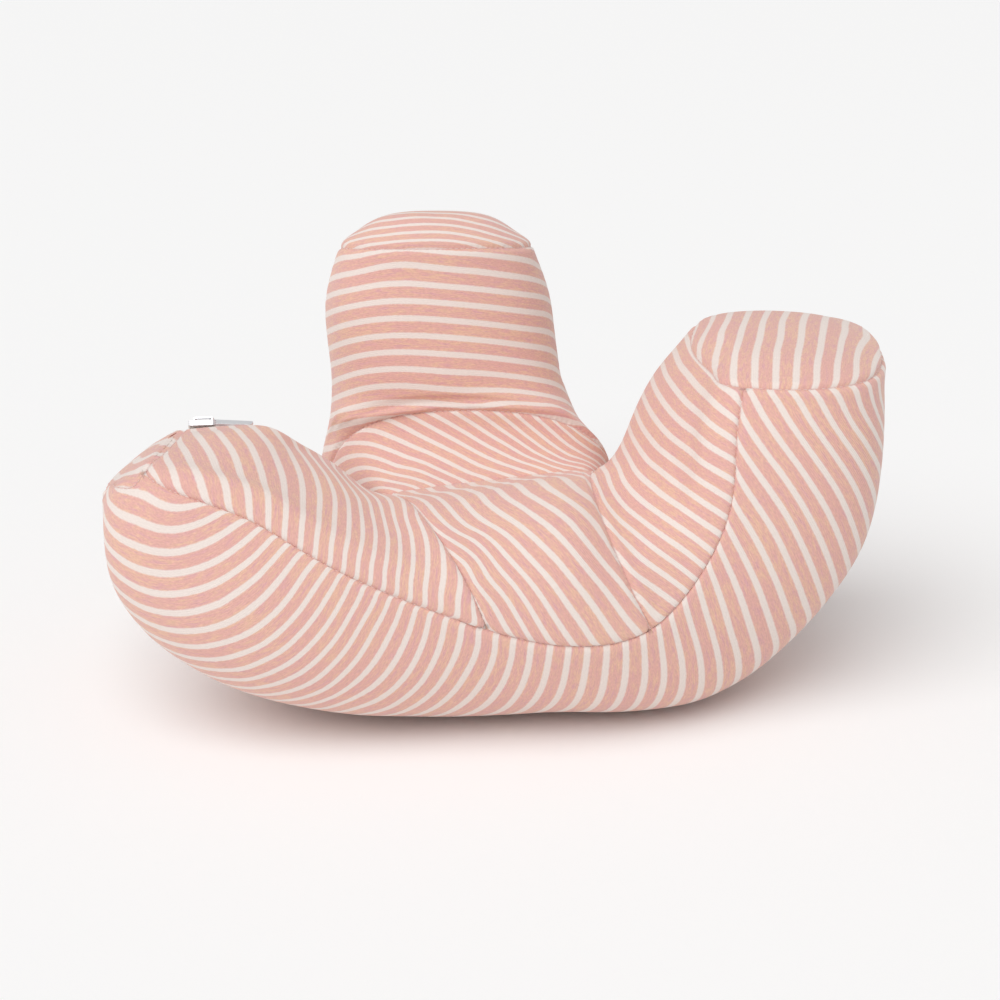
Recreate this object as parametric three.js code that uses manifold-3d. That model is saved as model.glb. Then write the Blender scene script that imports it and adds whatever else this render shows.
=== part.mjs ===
// A desk nap pillow: one stuffed body whose three arms curl up from a low hub, sewn from panels of
// striped jersey, with the end of a zip in the seam behind the left arm.
// Millimetres and degrees, +Z up. The origin is under the middle, on the face that the pillow rests on.

import * as THREE from "three";
import { mergeVertices } from "three/addons/utils/BufferGeometryUtils.js";
import Module from "manifold-3d";

const wasm = await Module();
wasm.setup();

// Driving sizes of the body
const roundness = 2.35; // of an arm's section: 2 is an ellipse, more is boxier
const capShoulder = { size: 0.62, rise: 0.8 }; // the loop inside a cap, as shares of its rim and crown
const seam = { lip: 2.2, depth: 1.3, capDepth: 0.8 }; // how wide and how deep a sewn seam draws in
const smoothing = { levels: 2, passes: 6 };
const crispRule = { own: 0.75, ends: 0.25 }; // how a point on a crisp line moves at each level

// Driving sizes of the zip
const zip = {
  start: 2.5, // from the cap's corner, along the seam
  length: 32, // the stretch that shows
  step: 2,
  cornerSteps: 3, // straight pieces in a round corner
  cutterSize: 2, // how much bigger a cutting block is than what it cuts
  coil: { width: 3, height: 1, lift: 0.35, bevel: { side: 0.6, rise: 0.4 } },
  slider: { at: 8.5, length: 11, width: 8, nose: 6.8, corner: 1.4, plate: 0.7, gap: 0.6, skirt: 0.7 },
  bridge: { width: 2.2, length: 8, clear: 1.55, bar: 0.6 },
  pull: {
    length: 19, width: 4.8, end: 4, corner: 1.3, thick: 0.6, gap: 0.58, tilt: 4.5,
    eye: { length: 2.4, width: 3 }, rim: 0.9,
  },
};

// A section is a ring of eight points around an arm. x, y and z are its middle, heading and rise turn
// it along the arm, and roll turns it about the arm. Inside is the side that the head leans on. Front
// and back are the two seams' angles from the section's sides towards the inside, and under is how
// far the outer seam turns from the section's bottom towards the back.
const columns = [
  "x", "y", "z", "heading", "rise", "roll", "width", "inside", "outside", "front", "back", "under",
];
const sections = (rows) => rows.map((row) => Object.fromEntries(row.map((v, i) => [columns[i], v])));

// The crescent runs from the left arm's end, through the hub, to the right arm's end.
const leftArm = sections([
  [-140, -38, 94, 170, 52, -13, 41, 19, 16, 27, 67, 10],
  [-121.5, -49, 79, 162, 34, -1, 48, 38, 35.5, 41, 50, 28],
  [-98, -56, 61, 174, 23, 0, 53, 46, 44, 45, 50, 25],
  [-61, -57, 48, 185, 1, 2, 54, 47, 45, 34, 30, 18],
  [-20, -55, 41, 202, -16, 1, 54, 47, 44, 13, 10, 8],
]);
const hub = sections([[20, -48, 43, 12, 1, 1, 55, 49, 44, 0, 0, 0]])[0];
const rightArm = sections([
  [60, -36, 42, 2, 26, -2, 57, 50, 48, 7, 0, 8],
  [85, -22, 56, 8, 47, -3, 58, 48, 50, 21, 5, 15],
  [101, -13, 80, 14, 66, -3, 60, 47, 52, 35, 10, 22],
  [107, -6, 109, 10, 82, -2, 59, 41, 51, 36, 12, 22],
  [109, 0, 130, 3, 91, 0, 55, 29, 49, 31, 15, 16],
]);
const backArm = sections([
  [-11, 36, 61, 91, 28, -1, 63, 44, 54, -12, -12, 0],
  [-18, 48, 82, 94, 54, -1, 56, 42, 49, -8, -8, 0],
  [-22, 55, 107, 97, 72, 0, 50, 40, 43, -6, -6, 0],
  [-25, 59, 135, 96, 80, 0, 49, 36, 39, -2, -2, 0],
  [-26, 61, 159, 92, 78, 0, 41, 30, 34, 2, 2, 0],
]);
const crown = { left: 2.4, right: 10, back: 15 };
const underside = { side: 2, middle: -1.5 }; // heights that carry the hub's base on to the back arm

const rad = THREE.MathUtils.degToRad;

// Cage: the points that the smooth body passes through, and the four-sided faces between them
class Cage {
  index = new Map();
  points = [];
  faces = [];

  place(key, point) {
    if (!this.index.has(key)) this.index.set(key, this.points.push(point) - 1);
    else this.points[this.index.get(key)].copy(point);
  }

  face(panel, keys) {
    this.faces.push({ panel, ring: keys.map((key) => this.index.get(key)) });
  }
}

// The eight points of one section. toBack is 1 where the section's side axis runs from the front seam
// to the back one, and -1 on the arm that heads the other way.
function ringPoints(section, toBack) {
  const heading = rad(section.heading);
  const rise = rad(section.rise);
  const roll = rad(section.roll);
  const along = new THREE.Vector3(
    Math.cos(rise) * Math.cos(heading),
    Math.cos(rise) * Math.sin(heading),
    Math.sin(rise),
  );
  const inward = new THREE.Vector3(
    -Math.sin(rise) * Math.cos(heading),
    -Math.sin(rise) * Math.sin(heading),
    Math.cos(rise),
  );
  const side = new THREE.Vector3().crossVectors(inward, along);
  inward.applyAxisAngle(along, -roll);
  side.applyAxisAngle(along, -roll).multiplyScalar(toBack);
  const { front, back } = section;
  const [under, over] = [-90 - section.under, -90 + section.under];
  const angles = [
    front, (front + 90) / 2, 90, (back + 90) / 2, back, (back + over) / 2, over, (under + front) / 2,
  ];
  const sides = [-1, -1, 0, 1, 1, 1, 1, -1];
  const middle = new THREE.Vector3(section.x, section.y, section.z);
  const points = angles.map((angle, i) => {
    const across = section.width * Math.abs(Math.cos(rad(angle))) ** (2 / roundness);
    const reach = angle > 0 ? section.inside : -section.outside;
    const up = reach * Math.abs(Math.sin(rad(angle))) ** (2 / roundness);
    return middle.clone().addScaledVector(side, sides[i] * across).addScaledVector(inward, up);
  });
  return { points, along };
}

function placeRing(cage, name, section, toBack, skip = []) {
  const { points } = ringPoints(section, toBack);
  points.forEach((point, i) => {
    if (!skip.includes(i)) cage.place(`${name}${i}`, point);
  });
}

// An arm's end: a loop inside the rim and one point on the crown
function placeCap(cage, name, section, toBack, height) {
  const { points, along } = ringPoints(section, toBack);
  const middle = new THREE.Vector3();
  for (const i of [0, 2, 4, 6]) middle.addScaledVector(points[i], 0.25);
  points.forEach((point, i) => {
    const inner = middle.clone().lerp(point, capShoulder.size);
    cage.place(`${name}Loop${i}`, inner.addScaledVector(along, height * capShoulder.rise));
  });
  cage.place(`${name}Crown`, middle.addScaledVector(along, height));
}

function buildCage() {
  const cage = new Cage();
  const left = (n, i) => (n < 0 ? right(0, i) : `left${n}-${i % 8}`);
  const right = (n, i) => `right${n}-${i % 8}`;
  leftArm.forEach((section, n) => placeRing(cage, `left${n}-`, section, -1));
  placeRing(cage, "right0-", hub, 1, [4]);
  rightArm.forEach((section, n) => placeRing(cage, `right${n + 1}-`, section, 1));
  backArm.forEach((section, n) => placeRing(cage, `back${n + 1}-`, section, -1));
  placeCap(cage, "left", leftArm[0], -1, crown.left);
  placeCap(cage, "right", rightArm.at(-1), 1, crown.right);
  placeCap(cage, "back", backArm.at(-1), -1, crown.back);

  // Where the back arm leaves the crescent, its first ring is made of the crescent's own points.
  const root = leftArm.length - 1;
  const backRoot = [
    left(root, 4), left(root, 3), right(0, 3), right(1, 3), right(1, 4), right(1, 5), right(0, 5), left(root, 5),
  ];
  const back = (n, i) => (n === 0 ? backRoot[i % 8] : `back${n}-${i % 8}`);
  const height = { [left(root, 5)]: underside.side, [right(0, 5)]: underside.middle, [right(1, 5)]: underside.side };
  for (const [key, z] of Object.entries(height)) cage.points[cage.index.get(key)].z = z;

  // A strip of faces between two rings. Points 0 to 4 are the inside, 4 to 6 and 6 to 0 the outer walls.
  const strip = (from, to, panels, skip = []) => {
    for (let i = 0; i < 8; i++) {
      if (skip.includes(i)) continue;
      const panel = i < 4 ? panels.inside : i < 6 ? panels.secondWall : panels.firstWall;
      cage.face(panel, [from(i), to(i), to(i + 1), from(i + 1)]);
    }
  };
  const leftPanels = { inside: "leftInside", firstWall: "front", secondWall: "backLeft" };
  const rightPanels = { inside: "rightInside", firstWall: "front", secondWall: "backRight" };
  const leftRing = (n) => (i) => left(n, i);
  const rightRing = (n) => (i) => right(n, i);
  const backRing = (n) => (i) => back(n, i);
  for (let n = 0; n < root; n++) strip(leftRing(n), leftRing(n + 1), leftPanels);
  strip(leftRing(root), rightRing(0), { ...leftPanels, inside: "seat" }, [3, 4]);
  strip(rightRing(0), rightRing(1), { ...rightPanels, inside: "seat" }, [3, 4]);
  for (let n = 1; n < rightArm.length; n++) strip(rightRing(n), rightRing(n + 1), rightPanels);
  for (let n = 0; n < backArm.length; n++) {
    const inside = n === 0 ? "backFoot" : "backInside";
    strip(backRing(n + 1), backRing(n), { inside, firstWall: "backLeft", secondWall: "backRight" });
  }

  const cap = (name, rim, turned) => {
    const loop = (i) => `${name}Loop${i % 8}`;
    const add = (keys) => cage.face(`${name}Cap`, turned ? keys.reverse() : keys);
    for (let i = 0; i < 8; i++) add([rim(i), rim(i + 1), loop(i + 1), loop(i)]);
    for (let i = 0; i < 8; i += 2) add([`${name}Crown`, loop(i), loop(i + 1), loop(i + 2)]);
  };
  cap("left", leftRing(0), false);
  cap("right", rightRing(rightArm.length), true);
  cap("back", backRing(backArm.length), false);
  return cage;
}

const edgeKey = (a, b) => (a < b ? `${a},${b}` : `${b},${a}`);

// Every edge with its ends and its faces. An edge between two panels is a seam.
function edgesOf(faces) {
  const edges = new Map();
  faces.forEach((face, f) => {
    face.ring.forEach((a, i) => {
      const b = face.ring[(i + 1) % face.ring.length];
      const key = edgeKey(a, b);
      if (!edges.has(key)) edges.set(key, { a, b, faces: [] });
      edges.get(key).faces.push(f);
    });
  });
  for (const edge of edges.values()) {
    const panels = edge.faces.map((f) => faces[f].panel);
    edge.seam = panels[0] !== panels[1];
    edge.capSeam = edge.seam && panels.some((panel) => panel.endsWith("Cap"));
  }
  return edges;
}

const average = (points) =>
  points.reduce((sum, point) => sum.add(point), new THREE.Vector3()).divideScalar(points.length);

// One Catmull-Clark step. Seams round a cap stay crisp where crisp is true.
function subdivide(points, faces, crisp) {
  const edges = edgesOf(faces);
  const facePoints = faces.map((face) => average(face.ring.map((i) => points[i])));
  const around = points.map(() => ({ edges: [], faces: [] }));
  faces.forEach((face, f) => face.ring.forEach((i) => around[i].faces.push(f)));
  const edgePoints = [];
  for (const edge of edges.values()) {
    around[edge.a].edges.push(edge);
    around[edge.b].edges.push(edge);
    edge.middle = average([points[edge.a], points[edge.b]]);
    edge.point = points.length + edgePoints.length;
    const soft = average([edge.middle, average(edge.faces.map((f) => facePoints[f]))]);
    edgePoints.push(crisp && edge.capSeam ? edge.middle.clone() : soft);
  }
  const moved = points.map((point, i) => {
    const sharp = around[i].edges.filter((edge) => crisp && edge.capSeam);
    if (sharp.length > 1) {
      const ends = sharp.map((edge) => points[edge.a === i ? edge.b : edge.a]);
      return point.clone().multiplyScalar(crispRule.own).addScaledVector(average(ends), crispRule.ends);
    }
    const n = around[i].edges.length;
    const faceMean = average(around[i].faces.map((f) => facePoints[f]));
    const edgeMean = average(around[i].edges.map((edge) => edge.middle));
    return faceMean.addScaledVector(edgeMean, 2).addScaledVector(point, n - 3).divideScalar(n);
  });
  const firstFacePoint = points.length + edgePoints.length;
  const finer = [];
  faces.forEach(({ ring, panel }, f) => {
    ring.forEach((corner, i) => {
      const next = edges.get(edgeKey(corner, ring[(i + 1) % ring.length])).point;
      const last = edges.get(edgeKey(corner, ring.at(i - 1))).point;
      finer.push({ panel, ring: [corner, next, firstFacePoint + f, last] });
    });
  });
  return { points: [...moved, ...edgePoints, ...facePoints], faces: finer };
}

function smooth(points, faces) {
  let mesh = { points, faces };
  for (let level = 0; level < smoothing.levels; level++) mesh = subdivide(mesh.points, mesh.faces, level === 0);
  return mesh;
}

// Subdivision shrinks a cage, so the cage is pushed out until the smooth body meets its points.
function smoothThrough(cage) {
  const pushed = cage.points.map((point) => point.clone());
  for (let pass = 0; pass < smoothing.passes; pass++) {
    const mesh = smooth(pushed, cage.faces);
    pushed.forEach((point, i) => point.add(cage.points[i]).sub(mesh.points[i]));
  }
  return smooth(pushed, cage.faces);
}

function pointNormals(points, faces) {
  const normals = points.map(() => new THREE.Vector3());
  for (const { ring } of faces) {
    const [a, b, c, d] = ring.map((i) => points[i]);
    const normal = new THREE.Vector3().crossVectors(c.clone().sub(a), d.clone().sub(b));
    for (const i of ring) normals[i].add(normal);
  }
  return normals.map((normal) => normal.normalize());
}

// Sews the panels: each panel's rim steps in by the seam's lip, and the seam line itself sinks.
function sewSeams({ points, faces }) {
  const normals = pointNormals(points, faces);
  const seams = [...edgesOf(faces).values()].filter((edge) => edge.seam);
  const onSeam = new Map();
  for (const { a, b, capSeam } of seams) {
    for (const i of [a, b]) onSeam.set(i, onSeam.get(i) || capSeam);
  }
  const lips = new Map();
  const centres = faces.map((face) => average(face.ring.map((i) => points[i])));
  faces.forEach(({ ring, panel }, f) => {
    for (const i of ring) {
      if (!onSeam.has(i)) continue;
      const key = `${i} ${panel}`;
      if (!lips.has(key)) lips.set(key, { from: i, inwards: new THREE.Vector3() });
      lips.get(key).inwards.add(centres[f].clone().sub(points[i]).normalize());
    }
  });
  const sewn = points.map((point) => point.clone());
  for (const lip of lips.values()) {
    const flat = lip.inwards.addScaledVector(normals[lip.from], -lip.inwards.dot(normals[lip.from]));
    lip.point = sewn.push(points[lip.from].clone().addScaledVector(flat.normalize(), seam.lip)) - 1;
  }
  for (const [i, capSeam] of onSeam) sewn[i].addScaledVector(normals[i], -(capSeam ? seam.capDepth : seam.depth));
  const lipOf = (i, panel) => (onSeam.has(i) ? lips.get(`${i} ${panel}`).point : i);
  const sewnFaces = faces.map(({ ring, panel }) => ({ panel, ring: ring.map((i) => lipOf(i, panel)) }));
  for (const { a, b, faces: pair } of seams) {
    for (const f of pair) {
      const { ring, panel } = faces[f];
      const forward = ring[(ring.indexOf(a) + 1) % ring.length] === b;
      const [from, to] = forward ? [a, b] : [b, a];
      sewnFaces.push({ panel, ring: [from, to, lipOf(to, panel), lipOf(from, panel)] });
    }
  }
  return { points: sewn, faces: sewnFaces };
}

function geometryOf(points, faces) {
  const geometry = new THREE.BufferGeometry();
  geometry.setAttribute("position", new THREE.Float32BufferAttribute(points.flatMap((p) => p.toArray()), 3));
  geometry.setIndex(faces.flatMap(({ ring: [a, b, c, d] }) => [a, b, c, a, c, d]));
  geometry.computeVertexNormals();
  return geometry;
}

// The line of the seam between two panels, as even stations from its low x end: the point on the smooth
// body, the way out of the cloth, the way along the seam and the way across it
function seamStations({ points, faces }, panels, start, length, step) {
  const normals = pointNormals(points, faces);
  const joins = (edge) => edge.faces.every((f) => panels.includes(faces[f].panel));
  const edges = [...edgesOf(faces).values()].filter((edge) => edge.seam && joins(edge));
  const ids = [...new Set(edges.flatMap((edge) => [edge.a, edge.b]))];
  ids.sort((a, b) => points[a].x - points[b].x);
  const line = new THREE.CatmullRomCurve3(ids.map((i) => points[i]));
  const out = new THREE.CatmullRomCurve3(ids.map((i) => normals[i]));
  const whole = line.getLength();
  return Array.from({ length: Math.round(length / step) + 1 }, (_, n) => {
    const share = (start + n * step) / whole;
    const along = line.getTangentAt(share);
    const normal = out.getPoint(line.getUtoTmapping(share));
    normal.addScaledVector(along, -normal.dot(along)).normalize();
    const across = new THREE.Vector3().crossVectors(normal, along);
    return { point: line.getPointAt(share), along, across, normal };
  });
}

// A strip of one outline, [across, up] in turn anticlockwise, carried along the stations
function stripGeometry(stations, outline) {
  const count = outline.length;
  const points = stations.flatMap(({ point, across, normal }) =>
    outline.map(([side, up]) => point.clone().addScaledVector(across, side).addScaledVector(normal, up)),
  );
  const index = [];
  for (let n = 0; n + 1 < stations.length; n++) {
    for (let i = 0; i < count; i++) {
      const [a, b] = [n * count + i, n * count + ((i + 1) % count)];
      index.push(a, b, b + count, a, b + count, a + count);
    }
  }
  const last = points.length - count;
  for (let i = 1; i + 1 < count; i++) {
    index.push(0, i + 1, i, last, last + i, last + i + 1);
  }
  const geometry = new THREE.BufferGeometry().setFromPoints(points);
  geometry.setIndex(index);
  geometry.computeVertexNormals();
  return geometry;
}

// A closed geometry as a solid that can be joined to others and cut by them
function solidOf(geometry) {
  const bare = geometry.clone();
  bare.deleteAttribute("normal");
  bare.deleteAttribute("uv");
  const merged = mergeVertices(bare);
  const vertProperties = new Float32Array(merged.attributes.position.array);
  return new wasm.Manifold(new wasm.Mesh({
    numProp: 3,
    vertProperties,
    triVerts: new Uint32Array(merged.index.array),
  }));
}

// Turns a solid back into a geometry and stands it at a station of the seam
function standAt({ point, along, across, normal }, solid) {
  const mesh = solid.getMesh();
  const geometry = new THREE.BufferGeometry();
  geometry.setAttribute("position", new THREE.Float32BufferAttribute(mesh.vertProperties, 3));
  geometry.setIndex([...mesh.triVerts]);
  geometry.applyMatrix4(new THREE.Matrix4().makeBasis(along, across, normal).setPosition(point));
  geometry.computeVertexNormals();
  return geometry;
}

// A plate with one narrower end and round corners, its length along x
function taperedPlate({ length, wide, narrow, corner }) {
  const [side, nose] = [wide / 2, narrow / 2];
  const shape = new THREE.Shape();
  shape.moveTo(0, -side + corner);
  shape.quadraticCurveTo(0, -side, corner, -side);
  shape.lineTo(length - corner, -nose);
  shape.quadraticCurveTo(length, -nose, length, -nose + corner);
  shape.lineTo(length, nose - corner);
  shape.quadraticCurveTo(length, nose, length - corner, nose);
  shape.lineTo(corner, side);
  shape.quadraticCurveTo(0, side, 0, side - corner);
  return shape;
}

const extrude = (shape, depth) =>
  new THREE.ExtrudeGeometry(shape, { depth, bevelEnabled: false, curveSegments: zip.cornerSteps });

// Heights over the cloth that the slider's parts share
const coilTop = zip.coil.lift + zip.coil.height;
const plateLow = coilTop + zip.slider.gap;
const plateTop = plateLow + zip.slider.plate;

// The slider is a plate over the coil with a skirt on each side of it, and a bridge that holds the pull.
function sliderSolid() {
  const { slider, coil, bridge } = zip;
  const outline = taperedPlate({ length: slider.length, wide: slider.width, narrow: slider.nose, corner: slider.corner });
  const shell = extrude(outline, plateTop - slider.skirt).translate(-slider.length / 2, 0, slider.skirt);
  const slotWidth = coil.width + 2 * slider.gap;
  const slot = new THREE.BoxGeometry(slider.length * zip.cutterSize, slotWidth, plateLow * 2);
  const half = bridge.length / 2;
  const sunk = slider.plate / 2; // of the bridge, into the plate
  const side = new THREE.Shape();
  side.moveTo(-half, -sunk);
  side.lineTo(half, -sunk);
  side.lineTo(half, bridge.clear);
  side.quadraticCurveTo(half, bridge.clear + bridge.bar, half - bridge.bar, bridge.clear + bridge.bar);
  side.lineTo(-half + bridge.bar, bridge.clear + bridge.bar);
  side.quadraticCurveTo(-half, bridge.clear + bridge.bar, -half, bridge.clear);
  const way = new THREE.BoxGeometry(bridge.length - 2 * bridge.bar, bridge.width * zip.cutterSize, bridge.clear);
  const arch = extrude(side, bridge.width).translate(0, 0, -bridge.width / 2).rotateX(Math.PI / 2);
  const handle = solidOf(arch).subtract(solidOf(way.translate(0, 0, bridge.clear / 2)));
  return solidOf(shell).subtract(solidOf(slot)).add(handle.translate([0, 0, plateTop]));
}

// The pull lies along the seam towards the hub, its eye round the bridge's far leg.
function pullSolid() {
  const { pull, bridge } = zip;
  const outline = taperedPlate({ length: pull.length, wide: pull.width, narrow: pull.end, corner: pull.corner });
  const plate = extrude(outline, pull.thick);
  const eye = new THREE.BoxGeometry(pull.eye.length, pull.eye.width, pull.thick * zip.cutterSize);
  eye.translate(pull.rim + pull.eye.length / 2, 0, pull.thick / 2);
  const farLeg = bridge.length / 2 - bridge.bar / 2;
  const start = farLeg - pull.eye.length / 2 - pull.rim;
  const flat = solidOf(plate).subtract(solidOf(eye)).translate([-pull.rim, 0, 0]);
  return flat.rotate([0, pull.tilt, 0]).translate([start + pull.rim, 0, plateTop + pull.gap]);
}

const smoothBody = smoothThrough(buildCage());
const body = sewSeams(smoothBody);
for (const point of body.points) point.z = Math.max(point.z, 0); // pressed flat by its own weight

const zipLine = seamStations(smoothBody, ["leftInside", "backLeft"], zip.start, zip.length, zip.step);
const sliderStation = zipLine[Math.round((zip.slider.at - zip.start) / zip.step)];
const { width, height, lift, bevel } = zip.coil;
const coilOutline = [
  [-width / 2, lift], [width / 2, lift], [width / 2, lift + height - bevel.rise],
  [width / 2 - bevel.side, lift + height], [-width / 2 + bevel.side, lift + height],
  [-width / 2, lift + height - bevel.rise],
];

const fabric = new THREE.MeshStandardMaterial({ color: 0xe8bfb2, roughness: 0.95, metalness: 0 });
const nylon = new THREE.MeshStandardMaterial({ color: 0xe6e1da, roughness: 0.6, metalness: 0 });
const metal = new THREE.MeshStandardMaterial({ color: 0xc9c8c6, roughness: 0.35, metalness: 1 });

const pieces = [
  { name: "pillow", geometry: geometryOf(body.points, body.faces), material: fabric },
  { name: "zip_coil", geometry: stripGeometry(zipLine, coilOutline), material: nylon },
  { name: "zip_slider", geometry: standAt(sliderStation, sliderSolid()), material: metal },
  { name: "zip_pull", geometry: standAt(sliderStation, pullSolid()), material: metal },
];

const napPillow = new THREE.Group();
for (const { name, geometry, material } of pieces) {
  const mesh = new THREE.Mesh(geometry, material);
  mesh.name = name;
  napPillow.add(mesh);
}

// The middle of the whole, seen from above, stands over the origin.
const middle = new THREE.Box3().setFromObject(napPillow).getCenter(new THREE.Vector3());
for (const mesh of napPillow.children) mesh.geometry.translate(-middle.x, -middle.y, 0);

export default napPillow;
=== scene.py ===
# Looks of a desk nap pillow: a stuffed jersey cover with stripes, sewn seams and the end of its zip.
import bpy
import bmesh
import heapq
import math
import numpy as np
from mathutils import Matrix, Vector, interpolate, noise
from mathutils.bvhtree import BVHTree
from mathutils.kdtree import KDTree


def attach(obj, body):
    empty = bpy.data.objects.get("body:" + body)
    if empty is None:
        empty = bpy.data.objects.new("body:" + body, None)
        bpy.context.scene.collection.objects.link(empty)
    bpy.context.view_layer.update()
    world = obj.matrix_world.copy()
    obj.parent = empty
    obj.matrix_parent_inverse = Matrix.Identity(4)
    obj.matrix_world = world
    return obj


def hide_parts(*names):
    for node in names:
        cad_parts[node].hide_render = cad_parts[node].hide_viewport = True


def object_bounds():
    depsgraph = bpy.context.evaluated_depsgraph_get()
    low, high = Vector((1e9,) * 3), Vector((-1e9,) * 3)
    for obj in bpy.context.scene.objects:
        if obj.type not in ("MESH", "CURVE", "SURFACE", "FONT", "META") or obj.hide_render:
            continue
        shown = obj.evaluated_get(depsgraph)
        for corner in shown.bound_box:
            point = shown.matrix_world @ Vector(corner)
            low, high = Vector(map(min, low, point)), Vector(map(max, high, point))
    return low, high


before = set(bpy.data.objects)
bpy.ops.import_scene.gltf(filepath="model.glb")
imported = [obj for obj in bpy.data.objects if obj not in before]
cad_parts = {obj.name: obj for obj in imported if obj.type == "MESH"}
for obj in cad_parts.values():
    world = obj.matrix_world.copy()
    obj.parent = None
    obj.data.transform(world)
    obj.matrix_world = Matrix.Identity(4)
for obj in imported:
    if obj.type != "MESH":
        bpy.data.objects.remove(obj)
cadLow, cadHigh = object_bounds()
mm = 0.001
tiny = 1e-9
centre = (cadLow + cadHigh) / 2


def placeObject(name, data):
    item = bpy.data.objects.new(name, data)
    bpy.context.scene.collection.objects.link(item)
    return item


def newMaterial(name):
    material = bpy.data.materials.new(name)
    material.use_nodes = True
    return material, material.node_tree, material.node_tree.nodes["Principled BSDF"]


def getPlaces(mesh):
    places = np.empty(len(mesh.vertices) * 3)
    mesh.vertices.foreach_get("co", places)
    return places.reshape(-1, 3)


def setPlaces(mesh, places):
    mesh.vertices.foreach_set("co", places.ravel())
    mesh.update()


def getNormals(mesh):
    normals = np.empty(len(mesh.vertices) * 3)
    mesh.vertices.foreach_get("normal", normals)
    return normals.reshape(-1, 3)


def pointTree(places):
    tree = KDTree(len(places))
    for index, place in enumerate(places):
        tree.insert(Vector(place), index)
    tree.balance()
    return tree


# The camera stands where the photograph was taken from.
cameraSettings = {
    "lens": 70,  # mm
    "sensor": 36,  # mm wide
    "distance": 0.8,  # m
    "elevation": 20.2,  # degrees
    "aim": (-0.18 * mm, -7.35 * mm, -17.5 * mm),  # from the middle of the whole
}
frameSide = 1000  # pixels of the picture, which is square


def cameraPose():
    tilt = math.radians(cameraSettings["elevation"])
    forward = Vector((0, math.cos(tilt), -math.sin(tilt)))
    aim = centre + Vector(cameraSettings["aim"])
    return aim - forward * cameraSettings["distance"], forward


def makeCamera():
    place, forward = cameraPose()
    data = bpy.data.cameras.new("camera")
    data.lens = cameraSettings["lens"]
    data.sensor_width = cameraSettings["sensor"]
    camera = placeObject("camera", data)
    camera.location = place
    camera.rotation_mode = "QUATERNION"
    camera.rotation_quaternion = forward.to_track_quat("-Z", "Y")
    bpy.context.scene.camera = camera


def pixelRay(x, y):
    # The line of sight through a pixel of the photograph
    place, forward = cameraPose()
    right = Vector((1, 0, 0))
    up = right.cross(forward)
    focal = cameraSettings["lens"] / cameraSettings["sensor"] * frameSide
    across = (x - frameSide / 2) / focal
    down = (y - frameSide / 2) / focal
    return place, (forward + right * across - up * down).normalized()


# A plain pale floor, an even sky and one soft light
studio = {
    "floorColour": (0.97, 0.968, 0.966, 1),
    "floorRoughness": 0.9,
    "floorSize": 12.0,  # m
    "floorDrop": 0.2 * mm,  # below the resting face
    "skyStrength": 0.47,
    "sun": {"from": (-0.3, -0.45, 0.84), "strength": 1.86, "spread": 60},  # spread in degrees
}


def makeStudio():
    world = bpy.data.worlds.new("studio")
    world.use_nodes = True
    sky = world.node_tree.nodes["Background"]
    sky.inputs["Color"].default_value = (1, 1, 1, 1)
    sky.inputs["Strength"].default_value = studio["skyStrength"]
    bpy.context.scene.world = world
    spec = studio["sun"]
    data = bpy.data.lights.new("softLight", "SUN")
    data.energy = spec["strength"]
    data.angle = math.radians(spec["spread"])
    light = placeObject("softLight", data)
    light.rotation_mode = "QUATERNION"
    light.rotation_quaternion = Vector(spec["from"]).to_track_quat("Z", "Y")
    side = studio["floorSize"] / 2
    mesh = bpy.data.meshes.new("floor")
    edge = [(-side, -side, 0), (side, -side, 0), (side, side, 0), (-side, side, 0)]
    mesh.from_pydata(edge, [], [(0, 1, 2, 3)])
    floor = placeObject("floor", mesh)
    floor.location.z = cadLow.z - studio["floorDrop"]
    material, _, paint = newMaterial("floorPaint")
    paint.inputs["Base Color"].default_value = studio["floorColour"]
    paint.inputs["Roughness"].default_value = studio["floorRoughness"]
    mesh.materials.append(material)


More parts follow.
